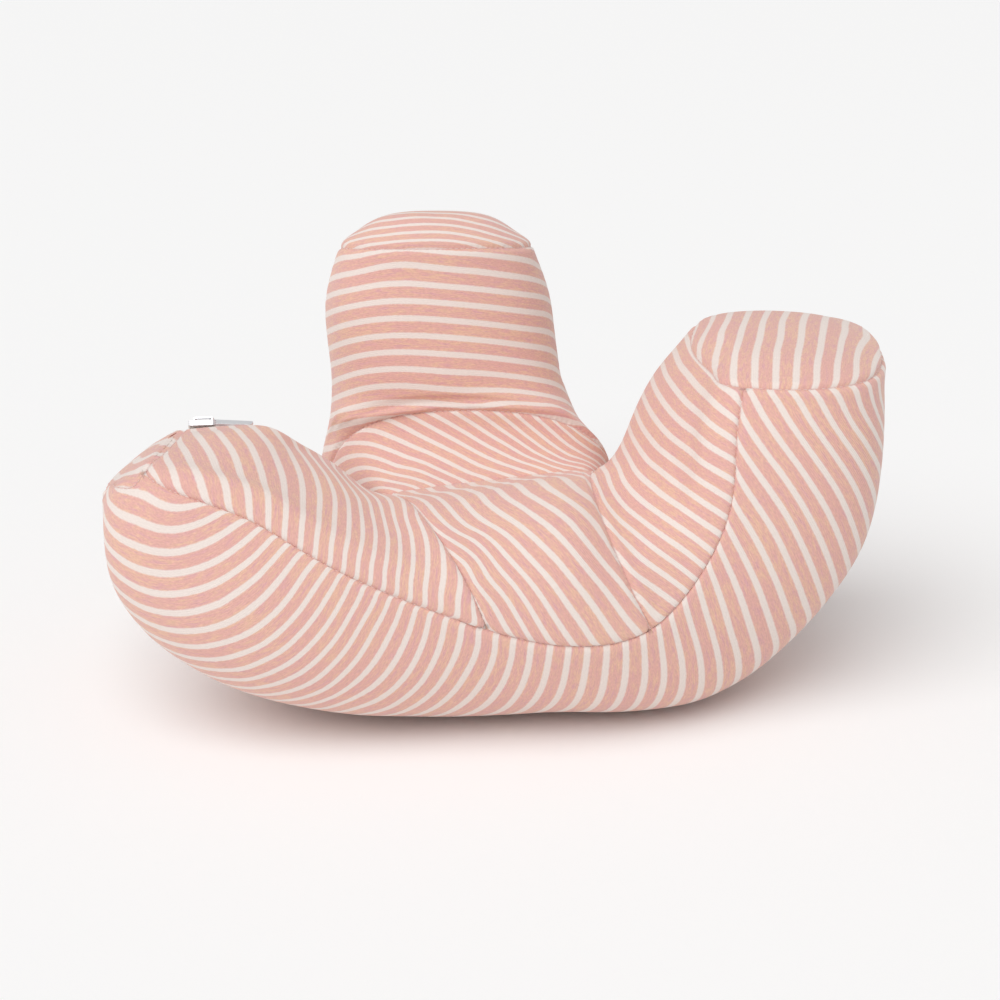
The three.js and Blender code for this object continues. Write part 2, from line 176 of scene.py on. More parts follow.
# The cover: one stuffed skin of eleven panels, sewn along these seams
cover = {
    "weld": 0.01 * mm,
    "flat": 60,  # degrees: two triangles that bend more stay two faces
    "crease": (3, 25),  # degrees: the least and most that a crease counts when a seam looks for its way
    "cornerPull": (2, 3),  # mm by which a deep fold draws a corner, and how many folds count
    "sharpness": 0.6,  # of the seams when the cover is smoothed
    "corners": {  # mm, from the middle of the resting face; where three panels meet
        "leftFront": (-134, -68, 104), "leftBack": (-128, -13, 101), "leftOuter": (-154, -25, 84),
        "rightFront": (95, -43, 129), "rightBack": (97, 58, 129), "rightOuter": (154, 26, 131),
        "backLeft": (-67, 63, 159), "backRight": (14, 66, 159), "backOuter": (-28, 99, 152),
        "seatLeft": (-4, -99, 53), "seatRight": (58, -86, 47),
        "leftFold": (-44, -20, 76), "rightFold": (41, 10, 76),
        "leftCrotch": (-43, -1, 52), "rightCrotch": (54, 29, 42),
        "footLeft": (-72, 47, 50), "footRight": (49, 49, 48), "heel": (12, -3, 0),
        "under": (12, -42, 0),
    },
    "seams": (  # each runs from corner to corner along the groove drawn into the solid
        ("leftFront", "seatLeft"), ("seatLeft", "seatRight"), ("seatRight", "rightFront"),
        ("leftOuter", "under"), ("under", "rightOuter"), ("backOuter", "heel"),
        ("heel", "under"),
        ("leftBack", "leftCrotch"), ("leftCrotch", "footLeft"), ("footLeft", "backLeft"),
        ("rightBack", "rightCrotch"), ("rightCrotch", "footRight"), ("footRight", "backRight"),
        ("seatLeft", "leftFold"), ("seatRight", "rightFold"), ("leftFold", "rightFold"),
        ("leftFold", "leftCrotch"), ("rightFold", "rightCrotch"), ("footLeft", "footRight"),
        ("leftFront", "leftBack"), ("leftBack", "leftOuter"), ("leftOuter", "leftFront"),
        ("rightFront", "rightBack"), ("rightBack", "rightOuter"), ("rightOuter", "rightFront"),
        ("backLeft", "backRight"), ("backRight", "backOuter"), ("backOuter", "backLeft"),
    ),
    "panels": {  # mm, a point on or near the middle of each panel
        "leftInside": (-89, -56, 90), "seat": (10, -57, 79), "rightInside": (65, -12, 96),
        "front": (0, -100, 30), "backFoot": (-10, 15, 85), "backInside": (-18, 40, 118),
        "leftCap": (-138, -32, 97), "rightCap": (117, 7, 136), "backCap": (-27, 70, 167),
        "backLeft": (-90, 20, 50), "backRight": (100, 60, 60),
    },
    "eases": (  # pixels: where a seam runs in the solid, and where the photograph has it
        ((146, 471), (146.5, 472)), ((138, 476), (137.5, 484)), ((130, 482), (130, 487)),
        ((122, 488), (122, 488)), ((107, 498), (113.5, 484)),
    ),
    "easeReach": 7.0,  # mm around each of them
    "leastShift": 0.02 * mm,
    "fills": (  # pixels, reach in mm, height in mm: where the filling stands fuller than in the solid
        (((338, 418), (372, 412), (415, 407), (460, 407), (510, 407), (560, 411)), 4.5, 2.6),
        (((350, 419), (362, 416), (380, 413), (400, 411)), 4.5, 2.2),
        (((346, 247), (349, 240)), 5, 1.0),
        (((527, 247), (525, 241)), 5, 1.0),
        (((390, 218), (436, 214), (480, 218)), 16, 1.6),
        (((215, 434), (240, 431), (262, 431)), 7, 1.3),
        (((775, 322), (815, 322)), 18, 1.0),
        (((105, 489), (109, 484)), 3.5, -0.9),
        (((350, 403), (372, 397), (430, 394), (500, 394)), 6, -0.9),
    ),
    "fillSteps": 12,  # points from one pixel of a line to the next
    "levels": 2,  # of smoothing
    "fullness": 4,  # turns of moving the points out
}


def startCover():
    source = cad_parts["pillow"]
    piece = placeObject("cover", source.data.copy())
    piece.data.materials.clear()
    work = bmesh.new()
    work.from_mesh(piece.data)
    work.edges.layers.float.new("crease_edge")
    work.faces.layers.int.new("panel")
    bmesh.ops.remove_doubles(work, verts=work.verts, dist=cover["weld"])
    bmesh.ops.join_triangles(work, faces=work.faces, angle_face_threshold=math.radians(cover["flat"]),
                             angle_shape_threshold=math.pi, cmp_seam=False)
    return piece, work


# The way along a groove: the more an edge folds inwards, the shorter it counts.
def seamPath(work, start, goal):
    best = {start: 0}
    cameBy = {}
    heap = [(0, start.index)]
    while heap:
        length, index = heapq.heappop(heap)
        vert = work.verts[index]
        if vert == goal:
            break
        if length > best[vert]:
            continue
        for edge in vert.link_edges:
            fold = math.degrees(-edge.calc_face_angle_signed(0))
            fold = min(max(fold, cover["crease"][0]), cover["crease"][1])
            longer = length + edge.calc_length() / fold
            other = edge.other_vert(vert)
            if longer < best.get(other, math.inf):
                best[other] = longer
                cameBy[other] = edge
                heapq.heappush(heap, (longer, other.index))
    path = []
    vert = goal
    while vert != start:
        path.append(cameBy[vert])
        vert = cameBy[vert].other_vert(vert)
    return path[::-1]


def nearestCorner(work, place):
    def folded(vert):
        deep = cover["crease"][1]
        return sum(-math.degrees(edge.calc_face_angle_signed(0)) > deep for edge in vert.link_edges)
    target = Vector(place) * mm
    pull, most = cover["cornerPull"]
    return min(work.verts, key=lambda vert: (vert.co - target).length - pull * mm * min(folded(vert), most))


def sewPanels(work):
    work.verts.ensure_lookup_table()
    work.verts.index_update()
    crease = work.edges.layers.float["crease_edge"]
    panel = work.faces.layers.int["panel"]
    corners = {name: nearestCorner(work, place) for name, place in cover["corners"].items()}
    for a, b in cover["seams"]:
        for edge in seamPath(work, corners[a], corners[b]):
            edge.seam = True
            edge[crease] = cover["sharpness"]
    seen = set()
    islands = []
    for start in work.faces:
        if start in seen:
            continue
        reach = [start]
        seen.add(start)
        for face in reach:
            for edge in face.edges:
                for other in ([] if edge.seam else edge.link_faces):
                    if other not in seen:
                        seen.add(other)
                        reach.append(other)
        islands.append(reach)
    for number, (name, place) in enumerate(cover["panels"].items(), 1):
        target = Vector(place) * mm
        nearest = min(work.faces, key=lambda face: (face.calc_center_median() - target).length)
        own = next(island for island in islands if nearest in island)
        for face in own:
            face[panel] = number
        print("panel", name, len(own), round(sum(face.calc_area() for face in own) * 1e4, 1), "cm2")
    print("panels", len(islands), "of", len(cover["panels"]))
    return {name: vert.index for name, vert in corners.items()}


# Each panel is laid flat, at its real size, as it was cut.
def flattenPanels(piece):
    bpy.context.view_layer.objects.active = piece
    piece.select_set(True)
    piece.data.uv_layers.new(name="flat")
    bpy.ops.object.mode_set(mode="EDIT")
    bpy.ops.mesh.select_all(action="SELECT")
    bpy.ops.uv.unwrap(method="ANGLE_BASED", margin=0.01)
    bpy.ops.object.mode_set(mode="OBJECT")
    mesh = piece.data
    flat, verts, starts, panelOf = meshTables(mesh, "flat")
    places = getPlaces(mesh)
    tris, panelOfTri = triangles(mesh, panelOf)
    a, b, c = (flat[tris[:, k]] for k in range(3))
    flatArea = abs(cross(b - a, c - a)) / 2
    a, b, c = (places[verts[tris[:, k]]] for k in range(3))
    realArea = np.linalg.norm(np.cross(b - a, c - a), axis=1) / 2
    panelOfLoop = np.repeat(panelOf, np.diff(starts))
    for number in np.unique(panelOf):
        own = panelOfTri == number
        scale = math.sqrt(realArea[own].sum() / flatArea[own].sum()) / mm
        flat[panelOfLoop == number] *= scale
    mesh.uv_layers["flat"].data.foreach_set("uv", flat.ravel())
    mesh.uv_layers.new(name="cloth")


def cross(p, q):
    # Of two rows of flat vectors
    return p[:, 0] * q[:, 1] - p[:, 1] * q[:, 0]


def meshTables(mesh, layer):
    # A layer's places and the vertex of each loop, where each face's loops start, and each face's panel
    flat = np.empty(len(mesh.loops) * 2)
    mesh.uv_layers[layer].data.foreach_get("uv", flat)
    verts = np.empty(len(mesh.loops), int)
    mesh.loops.foreach_get("vertex_index", verts)
    starts = np.empty(len(mesh.polygons), int)
    mesh.polygons.foreach_get("loop_start", starts)
    starts = np.append(starts, len(mesh.loops))
    panelOf = np.empty(len(mesh.polygons), int)
    mesh.attributes["panel"].data.foreach_get("value", panelOf)
    return flat.reshape(-1, 2), verts, starts, panelOf


def triangles(mesh, panelOf):
    # Rows of three loops each, and the panel that each triangle belongs to
    mesh.calc_loop_triangles()
    tris = np.empty(len(mesh.loop_triangles) * 3, int)
    mesh.loop_triangles.foreach_get("loops", tris)
    faces = np.empty(len(mesh.loop_triangles), int)
    mesh.loop_triangles.foreach_get("polygon_index", faces)
    return tris.reshape(-1, 3), panelOf[faces]


# Where the middle of each white stripe runs, read off the photograph.
# Panel: number of the stripe: pixels along it
stripeReadings = {
    "leftInside": {
        0: ((149.5, 466), (159, 480)),
        1: ((163, 452.5), (171.5, 472), (183, 496.5)),
        2: ((177, 439), (199, 479), (208, 502)),
        3: ((196, 432), (213.6, 458), (225, 483), (232, 513)),
        4: ((217, 430), (235, 454), (246, 485), (251, 519.5)),
        5: ((237.5, 428.6), (254, 452.5), (264, 483), (269, 528)),
        6: ((256, 428), (273, 450.6), (283, 479), (286, 506), (284, 535)),
        7: ((273, 428), (290, 447), (301, 474), (303.5, 506), (301, 544)),
        8: ((292, 437), (315, 470), (320, 496.5), (315, 552)),
        9: ((309, 445), (332, 483), (335, 512), (331, 560)),
        10: ((323, 452.5), (347.5, 493), (349.5, 527), (344, 567)),
        11: ((334, 462), (361, 500), (364, 535), (357, 577)),
        12: ((344, 472), (372, 508), (376, 542), (370.5, 577)),
        13: ((380, 501), (387, 529), (385, 581)),
        14: ((385, 495), (400, 533), (397, 588)),
        15: ((391, 492), (412, 540), (410, 597)),
        16: ((401, 492), (416, 511), (427, 547), (425, 602)),
        17: ((423, 513), (439, 540), (443, 565), (441, 609)),
        18: ((457, 547), (459.5, 574), (457.5, 617)),
        19: ((475.5, 594), (473, 621)),
    },
    "leftCap": {
        0: ((118, 475.5), (132, 472), (148, 467)),
        1: ((129, 464.5), (145, 459), (160.5, 452)),
        2: ((145, 452.5), (160, 446), (176, 439.5)),
    },
    "front": {
        -0.7: ((150, 478), (166, 490)),
        0: ((117, 480), (121, 490), (133, 492), (155, 502), (175, 509), (191, 507), (206, 502)),
        1: ((106.5, 496.5), (116, 514), (137, 521), (168, 530), (191, 526), (221, 512)),
        2: ((106.5, 527), (120, 540.5), (149, 552), (171.5, 554), (198, 547), (225, 533), (248, 519.5)),
        3: ((109, 550), (124, 563.5), (149, 573), (171.5, 575), (202, 568), (229, 554), (263, 526)),
        4: ((114, 573), (129, 586), (152, 595), (171.5, 596), (202, 590), (229, 577), (254, 558),
            (278, 535)),
        5: ((122, 596), (139, 608), (158, 614), (181, 615), (210, 607.5), (238.5, 591), (263, 569),
            (290, 544)),
        6: ((138, 618), (156, 628), (187, 634), (205, 633), (224, 627), (245, 615.5), (263, 600),
            (281, 579), (304.5, 551)),
        7: ((160, 640), (176, 646), (193.5, 649), (229, 643.5), (255.5, 631.5), (279.5, 611.5),
            (305, 573), (319, 558)),
        8: ((183, 657), (213.5, 661.5), (245, 655), (268, 644), (290, 624), (308.5, 600), (325, 575),
            (333, 564)),
        9: ((208, 669.5), (226, 671.5), (245, 670), (282, 653), (307, 628), (326, 600), (344, 571)),
        10: ((227, 679), (245, 681), (283, 668), (312, 645), (334, 616), (356, 576)),
        11: ((259, 687.5), (298.5, 675.5), (329, 649), (350, 615), (369, 579)),
        12: ((299.5, 689), (331, 667), (355, 635.5), (376, 600), (384, 583)),
        13: ((328, 689), (356, 661), (377, 623), (395, 590)),
        14: ((330, 699), (365.5, 672.5), (385.5, 641), (406, 601)),
        15: ((333, 706), (373, 687), (399, 653.5), (420, 603)),
        16: ((354, 708), (395, 687), (422, 644), (434, 609)),
        17: ((387.5, 709), (420, 684), (439, 646), (448.5, 615)),
        18: ((410.5, 709), (443, 678.5), (460, 636.5), (464, 622)),
        19: ((434.5, 709), (465, 674.5), (478.5, 643), (479.5, 628)),
        20: ((458, 708), (490, 667), (497, 632)),
        21: ((487, 705), (507.5, 671), (514.5, 638)),
        22: ((507.5, 708), (524.5, 679.5), (531, 644)),
        23: ((529.5, 707), (547.5, 667), (550.5, 647)),
        24: ((552.5, 706), (566.5, 667), (568.5, 647)),
        25: ((574.5, 706), (586, 667), (587, 647.5)),
        26: ((595.5, 706), (605.5, 672), (606.5, 646)),
        27: ((614.5, 708), (626.8, 660.5), (625, 642)),
        28: ((635.5, 707), (645.5, 656.5), (643, 637)),
        29: ((652.5, 708), (665, 670), (659.5, 627)),
        30: ((674.5, 705), (683, 664.5), (671, 620.5)),
        31: ((698.5, 698.5), (700.5, 656.5), (686, 607)),
        32: ((719.5, 689), (715, 641.5), (698.5, 586)),
        33: ((738.5, 679.5), (730, 630), (709, 567)),
        34: ((758.5, 668), (745.5, 609), (718.5, 545)),
        35: ((777, 653), (759, 588), (727, 524)),
        36: ((795, 637.5), (768.5, 563), (733, 500)),
        37: ((811.5, 624), (776, 534), (737, 472)),
        38: ((825, 605), (802.8, 545.5), (759, 475), (741, 449)),
        39: ((837, 586), (826, 550), (782, 473), (741, 410)),
        40: ((851, 570), (839, 534), (787.5, 450), (750, 389)),
        41: ((860, 552), (839, 492), (784, 412), (770, 389)),
        42: ((868, 521), (835, 454), (791, 390)),
        43: ((875.5, 496), (849, 446), (812, 390)),
        44: ((883, 473), (866, 442), (830.5, 387)),
        45: ((885, 450), (862, 410), (851, 383)),
        46: ((875.5, 406), (865, 380)),
        47: ((886, 419.5), (881, 396.5), (873, 373)),
        48: ((887, 377), (881, 364)),
    },
    "seat": {
        0: ((469, 565), (476, 583), (494, 604), (513, 636)),
        1: ((457, 543.6), (487, 577.5), (516, 615), (531, 640)),
        2: ((425, 501), (473, 538), (509, 579), (551, 642)),
        3: ((412, 492), (466, 526), (505, 556), (541, 597), (573, 644)),
        4: ((430, 492), (487, 524), (530, 560), (567.5, 606), (593.5, 642.5)),
        5: ((446, 486), (505, 517), (550, 552.5), (587, 597), (616, 639)),
        6: ((469, 483), (523, 506), (566, 542), (607, 590), (641, 635.5)),
        7: ((485, 477.5), (537, 499), (582, 538), (621, 583), (650, 627.5)),
        8: ((505, 476), (560, 494), (598, 526), (625, 561)),
        9: ((532, 474), (578, 490), (601, 508)),
        10: ((550, 472), (592.5, 484)),
    },
    "rightInside": {
        0: ((686, 337), (696, 356), (713, 375.5), (738, 402)),
        1: ((673, 345), (680, 366), (699.5, 389), (722, 408), (740, 423)),
        2: ((661, 362), (671, 383), (686, 402), (709, 423), (740, 444)),
        3: ((651, 379), (661, 400), (680, 421), (707, 444), (736, 462.5)),
        4: ((642, 396.5), (654, 418), (673, 439), (701, 462), (734, 482)),
        5: ((635, 412), (642, 429), (663, 452), (692, 475), (730, 500)),
        6: ((628, 429), (638, 448), (659, 469), (686, 490), (724, 516)),
        7: ((621, 444), (631, 463.5), (652, 484.5), (680, 506), (720, 533)),
        8: ((614, 460), (623, 479), (642, 500), (673, 523), (711, 552)),
        9: ((608, 473), (613, 490), (634, 513), (663, 536), (704, 567)),
        10: ((601, 490), (606, 504), (629, 527), (657, 550), (696, 580)),
        11: ((611.5, 527), (632.5, 548), (657, 569), (690, 594)),
        12: ((632.5, 572.5), (650, 584), (671, 599)),
    },
    "rightCap": {
        0: ((711, 320), (703, 335), (698, 352.5)),
        1: ((727, 320), (720, 339), (714, 364)),
        2: ((745, 320), (738, 343), (734, 379)),
        3: ((763, 320), (757, 349), (755, 385)),
        4: ((782, 320), (777, 349), (776, 386)),
        5: ((803, 320), (798, 354), (795, 386)),
        6: ((825, 320), (821, 349), (816, 385)),
        7: ((845, 324), (841, 349), (836, 381)),
        8: ((868, 337), (861, 345), (856, 375.5)),
        9: ((881, 351), (874, 364)),
    },
    "backInside": {
        0: ((336, 260), (361, 256), (405, 248.6), (450, 253), (504, 257), (539, 266)),
        1: ((332, 277.5), (370, 268.6), (421, 266), (477, 271), (545, 283)),
        2: ((330, 295), (375, 284.6), (405, 283), (468, 288), (549, 299)),
        3: ((330, 312), (375, 302.5), (405, 301), (477, 306), (552, 317)),
        4: ((331, 330), (375, 319.5), (405, 318), (477, 322.5), (553, 334)),
        5: ((331, 348), (375, 337), (405, 335.5), (477, 340), (554.5, 352)),
        6: ((332, 364), (375, 353), (405, 352), (477, 356), (557, 369.5)),
        7: ((333, 382), (375, 370), (405, 369), (477, 372.5), (561, 385.5)),
        8: ((334, 398), (375, 387), (405, 385.5), (477, 390), (512.5, 391), (565, 399)),
        9: ((334, 413), (375, 403), (405, 402.5), (477, 407), (539, 405), (568, 410.5)),
        10: ((518, 417), (539, 415), (561, 418), (573, 422)),
    },
    "backCap": {
        0: ((362, 246), (388, 242), (414, 240), (450, 240), (480, 246)),
        1: ((345, 244), (370, 236), (400, 232), (432, 231), (464, 234), (505, 245)),
        2: ((355, 233), (384, 227), (414, 224), (450, 224), (477, 228), (520, 242)),
        3: ((396, 218.5), (425, 216), (450, 217), (477, 223), (504, 231)),
    },
    "backFoot": {
        0: ((380, 478), (426, 490)),
        1: ((380, 469.5), (416, 478), (448, 488)),
        2: ((337, 465), (361, 454), (379, 458), (396, 466), (423, 470), (460, 485)),
        3: ((336, 454), (343, 445), (361, 443), (379, 446), (402, 455), (434, 467), (469, 483)),
        4: ((336, 440), (352, 431), (370, 430), (387.5, 435.5), (411, 445), (432, 453), (485, 477.5)),
        5: ((334, 427.5), (348, 419.5), (370, 418), (391, 420), (411, 429), (432, 440), (461, 453),
            (505, 474)),
        6: ((402, 415), (425, 424), (450, 436), (477, 450), (504, 463), (528, 471)),
        7: ((427, 413), (450, 424), (477, 438), (504, 452), (541, 467)),
        8: ((452, 412), (473, 424), (504, 442), (527, 456), (555, 467)),
        9: ((475, 413), (495, 426), (518, 440), (539, 454), (569, 465)),
        10: ((498, 414), (514, 427.5), (534, 441), (554, 454), (585, 463)),
        11: ((518, 417), (530, 429), (548, 442), (570, 456)),
        12: ((537.5, 419), (550, 431), (566, 444), (586, 456)),
        13: ((555, 422), (570, 435), (584, 445), (600, 454)),
        14: ((568, 426), (580, 436), (595, 447)),
    },
}

stripes = {
    "pitch": 7.5,  # mm
    "reach": 3.0,  # mm that a reading beside a seam may lie off its panel
    "hold": 12.0,  # mm from a reading, within which it is kept to
    "stiff": {"leftCap": (2.0, 60.0)},  # give and hold of a panel that the photograph shows edge on
    "give": 0.6,  # how far the curves may leave the readings to stay smooth
    "firm": 4,  # how much a reading counts beside an even pitch
    "loose": 1e-6,  # how much the curves count far from every reading
    "turns": 3,  # of making the pitch even
    "plain": {  # panels that the photograph hides: stripes square to the line between two corners
        "backLeft": ("leftOuter", "backOuter"),
        "backRight": ("backOuter", "rightOuter"),
    },
}


def bend(apart):
    return apart ** 2 * np.log(np.maximum(apart, tiny))


def distances(a, b):
    return np.linalg.norm(a[:, None, :] - b[None, :, :], axis=2)


# A thin plate bent through the readings: it runs on straight where there are none.
def bentPlate(places, numbers, give):
    count = len(places)
    system = np.zeros((count + 3, count + 3))
    system[:count, :count] = bend(distances(places, places)) + give * np.eye(count)
    system[:count, count:] = np.c_[np.ones(count), places]
    system[count:, :count] = np.c_[np.ones(count), places].T
    answer = np.linalg.solve(system, np.r_[numbers, 0, 0, 0])
    return places, answer


def plateHeight(plate, places):
    knots, answer = plate
    atOnce = 20000  # places, to spare memory
    result = np.empty(len(places))
    for start in range(0, len(places), atOnce):
        part = places[start:start + atOnce]
        curved = bend(distances(part, knots)) @ answer[:-3]
        result[start:start + atOnce] = curved + answer[-3] + part @ answer[-2:]
    return result


def panelTree(mesh, faces):
    corners = [vert.co for vert in mesh.vertices]
    return BVHTree.FromPolygons(corners, [tuple(face.vertices) for face in faces])


def flatPlace(mesh, face, place):
    corners = [mesh.vertices[index].co for index in face.vertices]
    shares = interpolate.poly_3d_calc(corners, place)
    layer = mesh.uv_layers["flat"].data
    return sum((layer[loop].uv * share for loop, share in zip(face.loop_indices, shares)), Vector((0, 0)))


def readStripes(mesh):
    plates = {}
    panelNames = list(cover["panels"])
    panelOf = meshTables(mesh, "flat")[3]
    whole = panelTree(mesh, mesh.polygons)
    for name, rows in stripeReadings.items():
        faces = [mesh.polygons[index] for index in np.flatnonzero(panelOf == panelNames.index(name) + 1)]
        tree = panelTree(mesh, faces)
        places = []
        numbers = []
        missed = 0
        for number, pixels in rows.items():
            for x, y in pixels:
                start, ahead = pixelRay(x, y)
                hit = whole.ray_cast(start, ahead)[0]
                hit, _, index, gap = tree.find_nearest(hit) if hit else (None, None, None, 0)
                if hit is None or gap > stripes["reach"] * mm:
                    missed += 1
                    continue
                places.append(flatPlace(mesh, faces[index], hit))
                numbers.append(number)
        places = np.array(places) / stripes["pitch"]
        numbers = np.array(numbers, float)
        give, _ = stripes["stiff"].get(name, (stripes["give"], 0))
        plate = bentPlate(places, numbers, give)
        off = plateHeight(plate, places) - numbers
        print("stripes", name, "readings", len(numbers), "missed", missed,
              "off", round(float(np.sqrt((off ** 2).mean())), 3), "most", round(float(abs(off).max()), 2))
        plates[name] = plate
    return plates


def flatCorner(mesh, flat, verts, own, corner):
    # Where a corner of the cover lies in a flat panel
    return flat[own & (verts == corner)][0]


def numberStripes(mesh, plates, corners):
    flat, verts, starts, panelOf = meshTables(mesh, "flat")
    panelOfLoop = np.repeat(panelOf, np.diff(starts))
    result = np.zeros(len(flat))
    for number, name in enumerate(cover["panels"], 1):
        own = panelOfLoop == number
        if name in plates:
            result[own] = plateHeight(plates[name], flat[own] / stripes["pitch"])
        else:
            a, b = (flatCorner(mesh, flat, verts, own, corners[corner]) for corner in stripes["plain"][name])
            along = (b - a) / np.linalg.norm(b - a)
            result[own] = (flat[own] - a) @ along / stripes["pitch"]
    return result


# Heights over a flat panel whose slope comes as near as it can to a wanted one in each triangle,
# while each point is held at a height of its own as firmly as its hold says
def heightsBySlope(places, tris, wanted, holds, heights):
    slopes, area = slopeParts(places, tris)
    count = len(places)
    system = np.diag(holds)
    right = holds * heights
    pairs = np.einsum("tid,tjd,t->tij", slopes, slopes, area)
    np.add.at(system, (tris[:, :, None], tris[:, None, :]), pairs)
    np.add.at(right, tris, np.einsum("tid,td,t->ti", slopes, wanted, area))
    return np.linalg.solve(system, right)


def slopeParts(places, tris):
    a, b, c = (places[tris[:, k]] for k in range(3))
    double = cross(b - a, c - a)
    double = np.where(abs(double) < tiny, tiny, double)
    sides = np.stack([c - b, a - c, b - a], 1)
    return np.stack([-sides[:, :, 1], sides[:, :, 0]], 2) / double[:, None, None], abs(double) / 2


def slopeWay(places, tris, numbers):
    slopes, _ = slopeParts(places, tris)
    climb = np.einsum("tk,tkd->td", numbers[tris], slopes)
    return climb / (np.linalg.norm(climb, axis=1)[:, None] + tiny)


# A length along the stripes, in mm: its slope is square to the stripe number's.
def lengthAlong(places, tris, numbers):
    climb = slopeWay(places, tris, numbers)
    square = np.stack([-climb[:, 1], climb[:, 0]], 1)
    holds = np.zeros(len(places))
    holds[0] = 1
    return heightsBySlope(places, tris, square, holds, np.zeros(len(places)))


# Away from the readings the stripes keep their way and come one pitch apart.
def evenNumbers(places, tris, numbers, knots, hold):
    gaps = distances(places, knots * stripes["pitch"]).min(1)
    holds = stripes["firm"] * np.exp(-(gaps / hold) ** 2) + stripes["loose"]
    even = numbers
    for turn in range(stripes["turns"]):
        wanted = slopeWay(places, tris, even) / stripes["pitch"]
        even = heightsBySlope(places, tris, wanted, holds, numbers)
    return even


def layCloth(mesh, numbers, plates):
    # The cloth's own lengths, and how far its stripes are moved from the plates' numbers
    flat, verts, starts, panelOf = meshTables(mesh, "flat")
    tris, panelOfTri = triangles(mesh, panelOf)
    cloth = np.zeros((len(flat), 2))
    cloth[:, 1] = numbers
    for number, name in enumerate(cover["panels"], 1):
        own = tris[panelOfTri == number]
        keys = np.c_[verts[own.ravel()], np.round(flat[own.ravel()], 3)]
        _, first, back = np.unique(keys, axis=0, return_index=True, return_inverse=True)
        loops = own.ravel()[first]
        places, rows, heights = flat[loops], back.reshape(-1, 3), numbers[loops]
        if name in plates:
            _, hold = stripes["stiff"].get(name, (0, stripes["hold"]))
            heights = evenNumbers(places, rows, heights, plates[name][0], hold)
            cloth[own.ravel(), 1] = heights[back.ravel()] - numbers[own.ravel()]
        length = lengthAlong(places, rows, heights)
        cloth[own.ravel(), 0] = length[back.ravel()]
    mesh.uv_layers["cloth"].data.foreach_set("uv", cloth.ravel())


def smoothCopy(piece, levels):
    smoother = piece.modifiers.get("smoother") or piece.modifiers.new("smoother", "SUBSURF")
    smoother.levels = smoother.render_levels = levels
    evaluated = piece.evaluated_get(bpy.context.evaluated_depsgraph_get())
    return bpy.data.meshes.new_from_object(evaluated)


# Slides the cloth along its own surface until these seams run where they do on the photograph
def easeSeams(piece):
    mesh = piece.data
    whole = panelTree(mesh, mesh.polygons)
    places = getPlaces(mesh)
    starts = []
    shifts = []
    for here, there in cover["eases"]:
        start, goal = (whole.ray_cast(*pixelRay(*pixel))[0] for pixel in (here, there))
        if start is None or goal is None:
            print("an ease misses the cover", here, there)
            continue
        starts.append(start)
        shifts.append(goal - start)
    starts = np.array(starts)
    reach = cover["easeReach"] * mm
    mix = np.exp(-(distances(starts, starts) / reach) ** 2)
    shares = np.linalg.solve(mix, np.array(shifts))
    moved = places + np.exp(-(distances(places, starts) / reach) ** 2) @ shares
    for index in np.flatnonzero(np.linalg.norm(moved - places, axis=1) > cover["leastShift"]):
        places[index] = whole.find_nearest(Vector(moved[index]))[0]
    setPlaces(mesh, places)


# Pushes the cloth out, or in, along the lines of the table
def fillOut(mesh):
    whole = panelTree(mesh, mesh.polygons)
    places = getPlaces(mesh)
    normals = getNormals(mesh)
    raised = np.zeros(len(places))
    for pixels, reach, height in cover["fills"]:
        hits = [whole.ray_cast(*pixelRay(*pixel))[0] for pixel in pixels]
        hits = np.array([hit for hit in hits if hit is not None])
        steps = np.linspace(0, len(hits) - 1, cover["fillSteps"] * len(hits))
        line = np.stack([np.interp(steps, range(len(hits)), hits[:, axis]) for axis in range(3)], 1)
        gaps = distances(places, line).min(1)
        raised += height * np.exp(-(gaps / (reach * mm)) ** 2)
    setPlaces(mesh, places + normals * (raised * mm)[:, None])


# Smoothing draws a mesh in, so its points move out until the smooth skin passes through the solid's.
def keepFull(piece):
    goal = getPlaces(piece.data)
    for turn in range(cover["fullness"]):
        copy = smoothCopy(piece, 1)
        short = goal - getPlaces(copy)[:len(goal)]
        bpy.data.meshes.remove(copy)
        most = np.linalg.norm(short, axis=1).max() / mm
        print("short of the solid by", round(float(most), 2), "mm")
        setPlaces(piece.data, getPlaces(piece.data) + short)


def makeCover():
    piece, work = startCover()
    corners = sewPanels(work)
    work.to_mesh(piece.data)
    work.free()
    easeSeams(piece)
    fillOut(piece.data)
    flattenPanels(piece)
    keepFull(piece)
    coarse = smoothCopy(piece, 1)
    fine = smoothCopy(piece, cover["levels"])
    plates = readStripes(fine)
    bpy.data.meshes.remove(fine)
    layCloth(piece.data, numberStripes(piece.data, plates, corners), plates)
    bpy.ops.object.modifier_apply(modifier="smoother")
    mesh = piece.data
    cloth, verts, starts, panelOf = meshTables(mesh, "cloth")
    seen = np.isin(panelOf, [list(cover["panels"]).index(name) + 1 for name in plates])
    seenLoops = np.repeat(seen, np.diff(starts))
    numbers = numberStripes(mesh, plates, corners)
    cloth[seenLoops, 1] += numbers[seenLoops]
    mesh.uv_layers["cloth"].data.foreach_set("uv", cloth.ravel())
    mesh.polygons.foreach_set("use_smooth", [True] * len(mesh.polygons))
    runs = seamRuns(mesh)
    gaps, along = seamGaps(mesh, runs)
    swellCover(piece, coarse)
    puckerCover(mesh, gaps, along)
    storeSeams(mesh, gaps, along)
    print("seams", len(runs), "cover faces", len(mesh.polygons))
    return piece, runs, corners


